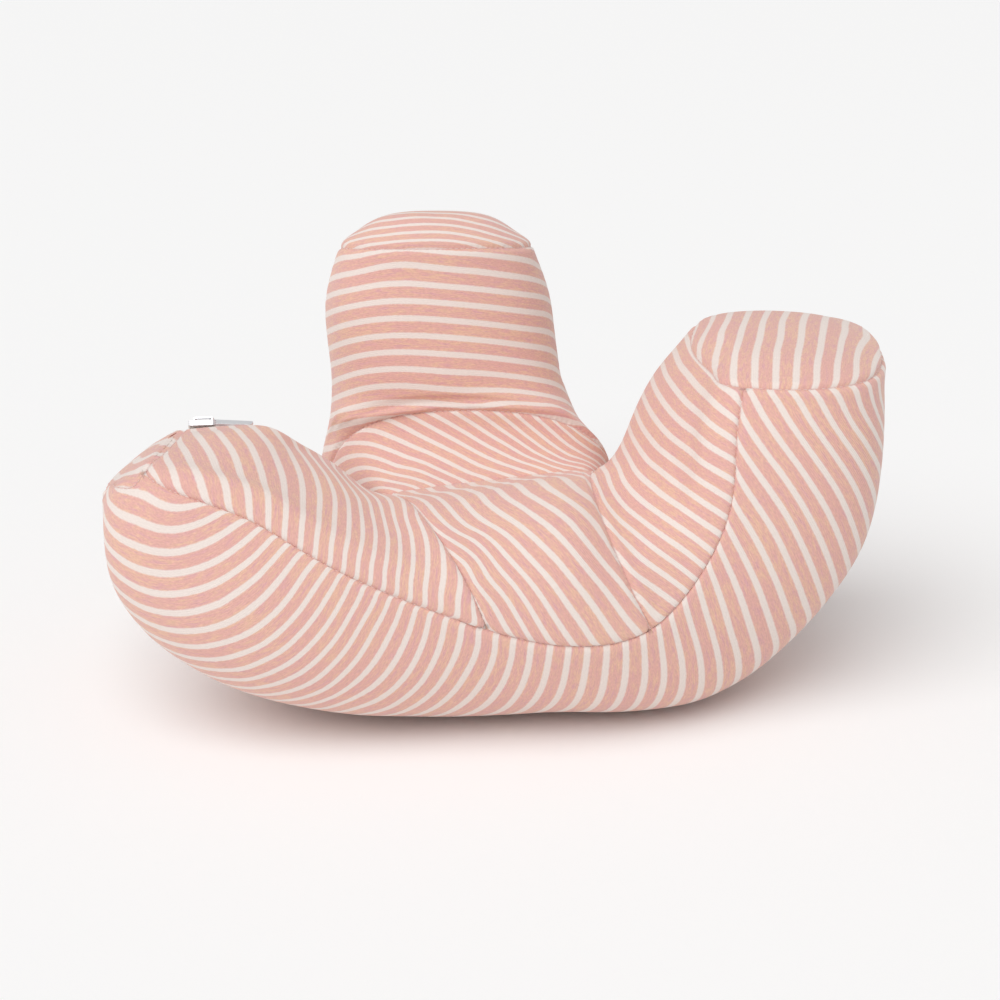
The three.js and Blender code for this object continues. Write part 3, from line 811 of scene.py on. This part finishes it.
# What the needle and the filling do to the cover
sewing = {
    "swell": 0.9,  # mm, how far the filling may push the cloth out between its seams
    "swellFade": 8,  # mm from a seam
    "held": 1,  # mm from a seam, where the cloth doesn't give
    "pressure": 4.0,
    "frames": 20,  # of pressing
    "follow": 4,  # points of the coarse copy that each point of the cover goes with
    "blur": 0.1,  # mm
    "near": 12,  # mm, how far from a seam it still counts
    "far": 50.0,  # mm, what stands for any more
    "folds": (("seatLeft", "leftFold"), ("seatRight", "rightFold")),  # folded, and not stitched
    "pucker": {"depth": 0.22, "every": 5.2, "reach": 2.6, "start": 0.8},  # mm
    "drift": (1.7, 9.0),  # how unevenly the puckers come, and over what length in mm
    "lumps": {"depth": 0.35, "size": 26.0, "fade": 10},  # mm, the unevenness of the filling
    "stitch": {
        "every": 2.4, "length": 1.5, "thick": 0.4, "lift": 0.05, "clear": 3.0,  # mm, clear of the corners
        "offset": 0.2,  # share of its own room that a stitch leaves before it
        "sides": 6,
        "rings": ((0, 0.45), (0.18, 1), (0.82, 1), (1, 0.45)),  # share of the length, of the thickness
    },
}


def seamRuns(mesh):
    # Runs of vertices along the seams, from corner to corner
    work = bmesh.new()
    work.from_mesh(mesh)
    panel = work.faces.layers.int["panel"]
    nextTo = {}
    for edge in work.edges:
        if len({face[panel] for face in edge.link_faces}) > 1:
            a, b = (vert.index for vert in edge.verts)
            nextTo.setdefault(a, []).append(b)
            nextTo.setdefault(b, []).append(a)
    work.free()
    runs = []
    used = set()
    for start in sorted(nextTo):
        if len(nextTo[start]) == 2:
            continue
        for step in nextTo[start]:
            if (start, step) in used:
                continue
            run = [start, step]
            while len(nextTo[run[-1]]) == 2:
                run.append(next(index for index in nextTo[run[-1]] if index != run[-2]))
            used.update(((run[0], run[1]), (run[-1], run[-2])))
            runs.append(run)
    return runs


def lengthsAlong(line):
    return np.r_[0, np.cumsum(np.linalg.norm(np.diff(line, axis=0), axis=1))] / mm


# For each point of the cover: how far the nearest seam is, and how far along that seam, in mm
def seamGaps(mesh, runs):
    places = getPlaces(mesh)
    owners = [(number, step) for number, run in enumerate(runs) for step in range(len(run))]
    lengths = [lengthsAlong(places[run]) for run in runs]
    tree = pointTree([places[runs[number][step]] for number, step in owners])
    gaps = np.full(len(places), sewing["far"])
    along = np.zeros(len(places))
    for index, place in enumerate(places):
        _, owner, gap = tree.find(Vector(place))
        if gap > sewing["near"] * mm:
            continue
        number, step = owners[owner]
        run = runs[number]
        best = gap / mm
        where = lengths[number][step]
        for other in (step - 1, step + 1):
            if not 0 <= other < len(run):
                continue
            a, b = places[run[step]], places[run[other]]
            share = min(max(np.dot(place - a, b - a) / np.dot(b - a, b - a), 0), 1)
            distance = np.linalg.norm(place - a - share * (b - a)) / mm
            if distance < best:
                best = distance
                where = lengths[number][step] * (1 - share) + lengths[number][other] * share
        gaps[index] = best
        along[index] = where
    return gaps, along


# The filling presses the cloth out between its seams, which hold still. It is tried on a coarser
# copy of the cover, and the cover then takes the push from the nearest points of the copy.
def swellCover(piece, copy):
    runs = seamRuns(copy)
    gaps, _ = seamGaps(copy, runs)
    pad = placeObject("pad", copy)
    scene = bpy.context.scene
    rest = getPlaces(copy)
    limit = sewing["swell"] * mm
    free = 1 - np.exp(-(gaps / sewing["swellFade"]) ** 2)
    setPlaces(copy, rest - getNormals(copy) * (free * limit)[:, None])
    group = pad.vertex_groups.new(name="sewn")
    group.add([int(index) for index in np.flatnonzero(gaps < sewing["held"])], 1, "REPLACE")
    swell = pad.modifiers.new("swell", "CLOTH")
    swell.settings.use_pressure = True
    swell.settings.uniform_pressure_force = sewing["pressure"]
    swell.settings.vertex_group_mass = "sewn"
    swell.settings.effector_weights.gravity = 0
    swell.point_cache.frame_end = sewing["frames"]
    for number in range(1, sewing["frames"] + 1):
        scene.frame_set(number)
    moved = getPlaces(pad.evaluated_get(bpy.context.evaluated_depsgraph_get()).data)
    scene.frame_set(1)
    push = moved - rest
    size = np.linalg.norm(push, axis=1)
    push *= (limit * np.tanh(size / limit) / np.maximum(size, tiny))[:, None]
    print("swell most", round(float(size.max() / mm), 2), "mean", round(float(size.mean() / mm), 2), "mm")
    tree = pointTree(rest)
    places = getPlaces(piece.data)
    blur = sewing["blur"] * mm
    for index, place in enumerate(places):
        near = tree.find_n(Vector(place), sewing["follow"])
        shares = np.array([1 / (gap + blur) ** 2 for _, _, gap in near])
        places[index] += shares @ push[[other for _, other, _ in near]] / shares.sum()
    setPlaces(piece.data, places)
    bpy.data.objects.remove(pad)
    bpy.data.meshes.remove(copy)


def puckerCover(mesh, gaps, along):
    places = getPlaces(mesh)
    normals = getNormals(mesh)
    spec = sewing["pucker"]
    uneven, over = sewing["drift"]
    wave = np.sin(2 * math.pi * along / spec["every"] + uneven * np.sin(along / over))
    fade = np.exp(-(gaps / spec["reach"]) ** 2) * np.minimum(gaps / spec["start"], 1)
    depth = spec["depth"] * wave * fade
    lumps = sewing["lumps"]
    size = lumps["size"] * mm
    rough = np.array([noise.noise(Vector(place / size)) for place in places]) * lumps["depth"]
    depth += rough * (1 - np.exp(-(gaps / lumps["fade"]) ** 2))
    places += normals * (depth * mm)[:, None]
    places[:, 2] = np.maximum(places[:, 2], cadLow.z)
    setPlaces(mesh, places)


def ringFaces(count, sides, base=0):
    # Faces of a tube of so many rings, with both its ends closed
    faces = []
    for ring in range(count - 1):
        for step in range(sides):
            a = base + ring * sides + step
            b = base + ring * sides + (step + 1) % sides
            faces.append((a, b, b + sides, a + sides))
    faces.append(tuple(base + step for step in range(sides))[::-1])
    faces.append(tuple(base + (count - 1) * sides + step for step in range(sides)))
    return faces


def makeStitches(mesh, runs, corners):
    folds = [{corners[a], corners[b]} for a, b in sewing["folds"]]
    places = getPlaces(mesh)
    normals = getNormals(mesh)
    spec = sewing["stitch"]
    rings = spec["rings"]
    turns = [2 * math.pi * step / spec["sides"] for step in range(spec["sides"])]
    verts = []
    faces = []
    for run in runs:
        if {run[0], run[-1]} in folds:
            continue
        line = places[run]
        lengths = lengthsAlong(line)
        ups = normals[run]
        count = int((lengths[-1] - 2 * spec["clear"]) / spec["every"])
        for number in range(count):
            start = spec["clear"] + (number + spec["offset"]) * spec["every"]
            at = [start + share * spec["length"] for share, _ in rings]
            middle = np.stack([np.interp(at, lengths, line[:, axis]) for axis in range(3)], 1)
            up = np.array([np.interp(at[1], lengths, ups[:, axis]) for axis in range(3)])
            up /= np.linalg.norm(up)
            middle += up * spec["lift"] * mm
            side = np.cross(middle[-1] - middle[0], up)
            side /= np.linalg.norm(side)
            faces += ringFaces(len(rings), spec["sides"], len(verts))
            for ringMiddle, (_, share) in zip(middle, rings):
                radius = spec["thick"] / 2 * share * mm
                for turn in turns:
                    verts.append(ringMiddle + radius * (math.cos(turn) * side + math.sin(turn) * up))
    threads = bpy.data.meshes.new("stitches")
    threads.from_pydata([tuple(vert) for vert in verts], [], faces)
    threads.polygons.foreach_set("use_smooth", [True] * len(threads.polygons))
    piece = placeObject("stitches", threads)
    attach(piece, "root")
    return piece


def storeSeams(mesh, gaps, along):
    for name, values in (("seamGap", gaps), ("seamRun", along)):
        layer = mesh.attributes.new(name, "FLOAT", "POINT")
        layer.data.foreach_set("value", values.astype(np.float32))


# Jersey of pink melange yarn with narrow off-white stripes, with painted shade along its seams
jersey = {
    "white": 2.6,  # mm, the width of a white stripe
    "softness": 0.35,  # mm, over which one colour turns into the other
    "waver": 0.5,  # mm, how much the stripe's edges wander
    "pink": (0.78, 0.442, 0.388, 1),
    "peach": (0.82, 0.51, 0.38, 1),
    "mauve": (0.73, 0.40, 0.42, 1),
    "cream": (0.86, 0.755, 0.70, 1),
    # A darker pink painted along each seam as painted shade for the seam's groove. The next two set how far
    # from the seam it reaches, in mm, and how strongly it darkens.
    "seam": (0.55, 0.24, 0.23, 1),
    "seamShadeWidth": 0.7,  # mm
    "seamShade": 0.35,
    "noises": {  # size along and over the stripes in mm, detail, and a number that tells one from another
        "waver": (1.6, 1.6, 3.0, 3.0),
        "streak": (5.0, 1.1, 2.0, 7.0),
        "patch": (26.0, 14.0, 1.0, 11.0),
        "cool": (6.5, 1.3, 2.0, 19.0),
        "fleck": (1.5, 0.5, 2.0, 31.0),
    },
    "noiseRoughness": 0.55,
    "patchShare": 0.5,  # of the patches beside the streaks
    "warmFrom": (0.66, 0.92),  # of the noise, where peach starts and where it is full
    "coolFrom": (0.5, 0.72),
    "coolShare": 0.8,
    "flecks": {"pink": 0.42, "white": 0.16, "darkest": 0.79, "whiteLift": 0.13},
    "knit": {"column": 0.8, "loop": 0.55, "loopShare": 0.6, "depth": 0.25, "fleck": 1.5},  # mm, then shares
    "drawn": {"near": 0.3, "far": 2.4, "depth": 1.2},  # mm from the seam, and a share
    "relief": {"Distance": 0.12 * mm, "Strength": 0.6},
    "paint": {
        "Roughness": 0.92, "Specular IOR Level": 0.2, "Sheen Weight": 0.4, "Sheen Roughness": 0.5,
        "Sheen Tint": (1, 0.93, 0.9, 1),
    },
}


def feed(tree, socket, value):
    if isinstance(value, bpy.types.NodeSocket):
        tree.links.new(value, socket)
    else:
        socket.default_value = value


def addNode(tree, kind, inputs, **settings):
    item = tree.nodes.new(kind)
    for key, value in settings.items():
        setattr(item, key, value)
    for key, value in inputs.items():
        feed(tree, item.inputs[key], value)
    return item


def reckon(tree, operation, *values):
    return addNode(tree, "ShaderNodeMath", dict(enumerate(values)), operation=operation).outputs[0]


def blendColours(tree, share, first, second, how="MIX"):
    inputs = {0: share, 6: first, 7: second}
    return addNode(tree, "ShaderNodeMix", inputs, data_type="RGBA", blend_type=how).outputs[2]


def noiseAt(tree, along, over, name):
    sizeAlong, sizeOver, detail, seed = jersey["noises"][name]
    inputs = {
        "X": reckon(tree, "DIVIDE", along, sizeAlong), "Y": reckon(tree, "DIVIDE", over, sizeOver), "Z": seed,
    }
    place = addNode(tree, "ShaderNodeCombineXYZ", inputs).outputs[0]
    inputs = {"Vector": place, "Scale": 1.0, "Detail": detail, "Roughness": jersey["noiseRoughness"]}
    return addNode(tree, "ShaderNodeTexNoise", inputs).outputs["Fac"]


def spread(tree, value, low, high):
    inputs = {"Value": value, "From Min": low, "From Max": high, "To Min": 0.0, "To Max": 1.0}
    return addNode(tree, "ShaderNodeMapRange", inputs, interpolation_type="SMOOTHSTEP").outputs[0]


def stripeColour(tree, along, over, gap):
    # The white stripe, its edges a little uneven from yarn to yarn
    wander = jersey["waver"]
    waver = reckon(tree, "MULTIPLY_ADD", noiseAt(tree, along, over, "waver"), wander, -wander / 2)
    fromMiddle = reckon(tree, "PINGPONG", reckon(tree, "ADD", over, waver), stripes["pitch"] / 2)
    edge, soft = jersey["white"] / 2, jersey["softness"]
    inWhite = spread(tree, fromMiddle, edge + soft, edge - soft)
    # Melange: streaks along the stripe that lean to peach or to mauve, and small dark and pale flecks
    patch = reckon(tree, "MULTIPLY", noiseAt(tree, along, over, "patch"), jersey["patchShare"])
    streak = reckon(tree, "ADD", noiseAt(tree, along, over, "streak"), patch)
    warm = spread(tree, streak, *jersey["warmFrom"])
    cool = spread(tree, noiseAt(tree, along, over, "cool"), *jersey["coolFrom"])
    cool = reckon(tree, "MULTIPLY", cool, jersey["coolShare"])
    pink = blendColours(tree, warm, jersey["pink"], jersey["peach"])
    pink = blendColours(tree, cool, pink, jersey["mauve"])
    colour = blendColours(tree, inWhite, pink, jersey["cream"])
    # Painted shade: near each seam the colour turns towards the darker pink, standing in for the shade in the
    # seam's groove
    inSeamShade = reckon(tree, "MULTIPLY", spread(tree, gap, jersey["seamShadeWidth"], 0.0), jersey["seamShade"])
    colour = blendColours(tree, inSeamShade, colour, jersey["seam"])
    flecks = jersey["flecks"]
    fleck = noiseAt(tree, along, over, "fleck")
    depth = reckon(tree, "MULTIPLY_ADD", inWhite, flecks["white"] - flecks["pink"], flecks["pink"])
    light = reckon(tree, "MULTIPLY_ADD", fleck, depth, flecks["darkest"])
    light = reckon(tree, "MULTIPLY_ADD", inWhite, flecks["whiteLift"], light)
    shade = addNode(tree, "ShaderNodeCombineXYZ", {"X": light, "Y": light, "Z": light}).outputs[0]
    return blendColours(tree, 1.0, colour, shade, "MULTIPLY"), fleck


def ripple(tree, value, length):
    return reckon(tree, "SINE", reckon(tree, "MULTIPLY", value, 2 * math.pi / length))


def jerseyMaterial():
    material, tree, paint = newMaterial("stripedJersey")
    for name, value in jersey["paint"].items():
        paint.inputs[name].default_value = value
    uv = addNode(tree, "ShaderNodeUVMap", {}, uv_map="cloth").outputs[0]
    parts = addNode(tree, "ShaderNodeSeparateXYZ", {"Vector": uv})
    along = parts.outputs["X"]
    over = reckon(tree, "MULTIPLY", parts.outputs["Y"], stripes["pitch"])
    gap, run = (addNode(tree, "ShaderNodeAttribute", {}, attribute_name=name).outputs["Fac"]
                for name in ("seamGap", "seamRun"))
    colour, fleck = stripeColour(tree, along, over, gap)
    tree.links.new(colour, paint.inputs["Base Color"])
    # Knit: columns of small loops that run along the stripe
    spec = jersey["knit"]
    loops = reckon(tree, "MULTIPLY", ripple(tree, along, spec["loop"]), spec["loopShare"])
    knit = reckon(tree, "ADD", ripple(tree, over, spec["column"]), loops)
    knit = reckon(tree, "MULTIPLY", knit, spec["depth"])
    relief = reckon(tree, "MULTIPLY_ADD", fleck, spec["fleck"], knit)
    # The needle draws the cloth in between stitches
    spec = jersey["drawn"]
    drawn = ripple(tree, run, sewing["stitch"]["every"])
    drawn = reckon(tree, "MULTIPLY", drawn, spread(tree, gap, spec["far"], spec["near"]))
    relief = reckon(tree, "MULTIPLY_ADD", drawn, spec["depth"], relief)
    bump = addNode(tree, "ShaderNodeBump", {"Height": relief, **jersey["relief"]})
    tree.links.new(bump.outputs[0], paint.inputs["Normal"])
    return material


# Small parts, whose colour and roughness change a little from place to place
smallLooks = {  # size is how many specks come in a metre; rough is the least, and what specks add
    "sewingThread": {
        "size": 1500.0, "detail": 2.0, "metal": 0.0, "rough": (0.7, 0.0),
        "colours": ((0.70, 0.42, 0.38, 1), (0.88, 0.72, 0.66, 1)),
    },
    "zipMetal": {
        "size": 900.0, "detail": 3.0, "metal": 0.6, "rough": (0.25, 0.2),
        "colours": ((0.82, 0.82, 0.85, 1), (0.92, 0.92, 0.94, 1)),
    },
    "zipNylon": {
        "size": 600.0, "detail": 2.0, "metal": 0.0, "rough": (0.45, 0.0),
        "colours": ((0.80, 0.76, 0.71, 1), (0.88, 0.85, 0.81, 1)),
    },
}


def smallMaterial(name):
    spec = smallLooks[name]
    material, tree, paint = newMaterial(name)
    place = addNode(tree, "ShaderNodeTexCoord", {}).outputs["Object"]
    inputs = {"Vector": place, "Scale": spec["size"], "Detail": spec["detail"]}
    speck = addNode(tree, "ShaderNodeTexNoise", inputs).outputs["Fac"]
    least, more = spec["rough"]
    rough = reckon(tree, "MULTIPLY_ADD", speck, more, least) if more else least
    feed(tree, paint.inputs["Base Color"], blendColours(tree, speck, *spec["colours"]))
    feed(tree, paint.inputs["Roughness"], rough)
    paint.inputs["Metallic"].default_value = spec["metal"]
    return material


# The end of the zip: coil, slider and pull
zipParts = {
    "coil": {"turn": 0.95, "step": 0.16, "waist": 0.22, "split": 0.3},  # mm, then two shares
    "pull": {
        "length": 19.0, "width": 4.8, "end": 4.0, "thick": 0.9, "corner": 1.3,  # mm
        "eye": (2.4, 3.7), "eyeCorner": 0.5, "rim": 0.8, "drop": 0.95, "edge": 0.25,
        "roll": 34,  # degrees, towards the viewer
    },
    "sliderEdge": 0.22,  # mm
    "edgeFrom": 40,  # degrees: what bends less isn't rounded
    "edgeSteps": 3,
    "clear": 0.32,  # mm between the cloth and the zip
    "look": 3,  # mm, how far from the cloth the zip is looked for
    "turns": 6,  # of pressing the cloth in
}


def makeCoil():
    # Turns of nylon in two rows, inside the strip that stands for them in the solid
    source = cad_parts["zip_coil"]
    spec = zipParts["coil"]
    around = 6  # points in a section of the strip
    ends = getPlaces(source.data).reshape(-1, around, 3)
    middles = ends.mean(1)
    lengths = lengthsAlong(middles)
    at = np.arange(0, lengths[-1], spec["step"])
    rings = np.stack([[np.interp(at, lengths, ends[:, corner, axis]) for axis in range(3)]
                      for corner in range(around)]).transpose(2, 0, 1)
    middles = rings.mean(1, keepdims=True)
    top = (rings[:, 3] + rings[:, 4]) / 2
    groove = top * (1 - spec["split"]) + middles[:, 0] * spec["split"]
    rings = np.concatenate([rings[:, :4], groove[:, None], rings[:, 4:]], 1)
    waist = 1 - spec["waist"] * (0.5 + 0.5 * np.cos(2 * math.pi * at / spec["turn"]))
    rings = middles + (rings - middles) * waist[:, None, None]
    mesh = bpy.data.meshes.new("zipCoil")
    mesh.from_pydata([tuple(place) for ring in rings for place in ring], [], ringFaces(*rings.shape[:2]))
    piece = placeObject("zipCoil", mesh)
    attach(piece, "root")
    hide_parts("zip_coil")
    return piece


def roundedPlate(length, wide, narrow, corner, steps=5):
    # Outline of a plate along x from 0, with one narrower end
    outline = []
    far, side, nose = length - corner, wide / 2 - corner, narrow / 2 - corner
    for quarter, (x, y) in enumerate(((far, nose), (corner, side), (corner, -side), (far, -nose))):
        for step in range(steps + 1):
            turn = math.radians(90 * (quarter + step / steps))
            outline.append((x + corner * math.cos(turn), y + corner * math.sin(turn)))
    return outline


def makePull():
    spec = zipParts["pull"]
    source = getPlaces(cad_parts["zip_pull"].data)
    middle = source.mean(0)
    ahead, _, up = np.linalg.svd(source - middle, full_matrices=False)[2]
    ahead *= np.sign(ahead[0])
    up *= np.sign(up[2])
    start = ((source - middle) @ ahead).min()
    turn = math.radians(spec["roll"])
    across = np.cross(up, ahead)
    rolled = up * math.cos(turn) - across * math.sin(turn)
    across = np.cross(rolled, ahead)
    work = bmesh.new()
    eye = roundedPlate(spec["eye"][0], spec["eye"][1], spec["eye"][1], spec["eyeCorner"], 3)
    edges = []
    for outline in (roundedPlate(spec["length"], spec["width"], spec["end"], spec["corner"]),
                    [(x + spec["rim"], y) for x, y in eye]):
        ring = [work.verts.new((x, y, -spec["thick"] / 2)) for x, y in outline]
        edges += [work.edges.new(pair) for pair in zip(ring, ring[1:] + ring[:1])]
    bmesh.ops.triangle_fill(work, edges=edges, use_beauty=True, use_dissolve=False)
    solid = bmesh.ops.extrude_face_region(work, geom=list(work.faces))
    for item in solid["geom"]:
        if isinstance(item, bmesh.types.BMVert):
            item.co.z += spec["thick"]
    bmesh.ops.recalc_face_normals(work, faces=list(work.faces))
    for vert in work.verts:
        x, y, z = (value * mm for value in vert.co)
        place = middle + ahead * (start + x) + across * y + rolled * z
        vert.co = Vector(place - up * spec["drop"] * mm)
    mesh = bpy.data.meshes.new("zipPull")
    work.to_mesh(mesh)
    work.free()
    piece = placeObject("zipPull", mesh)
    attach(piece, "root")
    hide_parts("zip_pull")
    roundEdges(piece, spec["edge"])
    return piece


def roundEdges(piece, width):
    edge = piece.modifiers.new("edge", "BEVEL")
    edge.width = width * mm
    edge.segments = zipParts["edgeSteps"]
    edge.limit_method = "ANGLE"
    edge.angle_limit = math.radians(zipParts["edgeFrom"])
    edge.harden_normals = True
    piece.data.polygons.foreach_set("use_smooth", [True] * len(piece.data.polygons))


# Cloth that comes too near the zip is pressed in under it.
def keepClear(mesh, pieces):
    trees = []
    for piece in pieces:
        evaluated = piece.evaluated_get(bpy.context.evaluated_depsgraph_get()).data
        trees.append(panelTree(evaluated, evaluated.polygons))
    places = getPlaces(mesh)
    normals = getNormals(mesh)
    reach = zipParts["clear"] * mm
    pressed = set()
    for turn in range(zipParts["turns"]):
        for index, place in enumerate(places):
            if turn and index not in pressed:
                continue
            for tree in trees:
                hit, outward, _, gap = tree.find_nearest(Vector(places[index]), zipParts["look"] * mm)
                if hit is None:
                    continue
                if (Vector(places[index]) - hit).dot(outward) < 0:
                    gap = -gap
                if gap < reach:
                    places[index] -= normals[index] * (reach - gap)
                    pressed.add(index)
    print("cloth pressed in under the zip at", len(pressed), "points")
    setPlaces(mesh, places)


makeCamera()
makeStudio()
bpy.context.scene.view_settings.view_transform = "Standard"
print("camera and studio are set")
piece, runs, corners = makeCover()
piece.data.materials.append(jerseyMaterial())
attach(piece, "root")
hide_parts("pillow")
coil = makeCoil()
coil.data.materials.append(smallMaterial("zipNylon"))
pull = makePull()
metal = smallMaterial("zipMetal")
pull.data.materials.append(metal)
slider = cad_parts["zip_slider"]
slider.data.materials.clear()
slider.data.materials.append(metal)
roundEdges(slider, zipParts["sliderEdge"])
print("zip: coil", len(coil.data.polygons), "pull", len(pull.data.polygons), "faces")
keepClear(piece.data, (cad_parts["zip_coil"], slider, pull))
stitches = makeStitches(piece.data, runs, corners)
stitches.data.materials.append(smallMaterial("sewingThread"))
print("stitches", len(stitches.data.polygons))
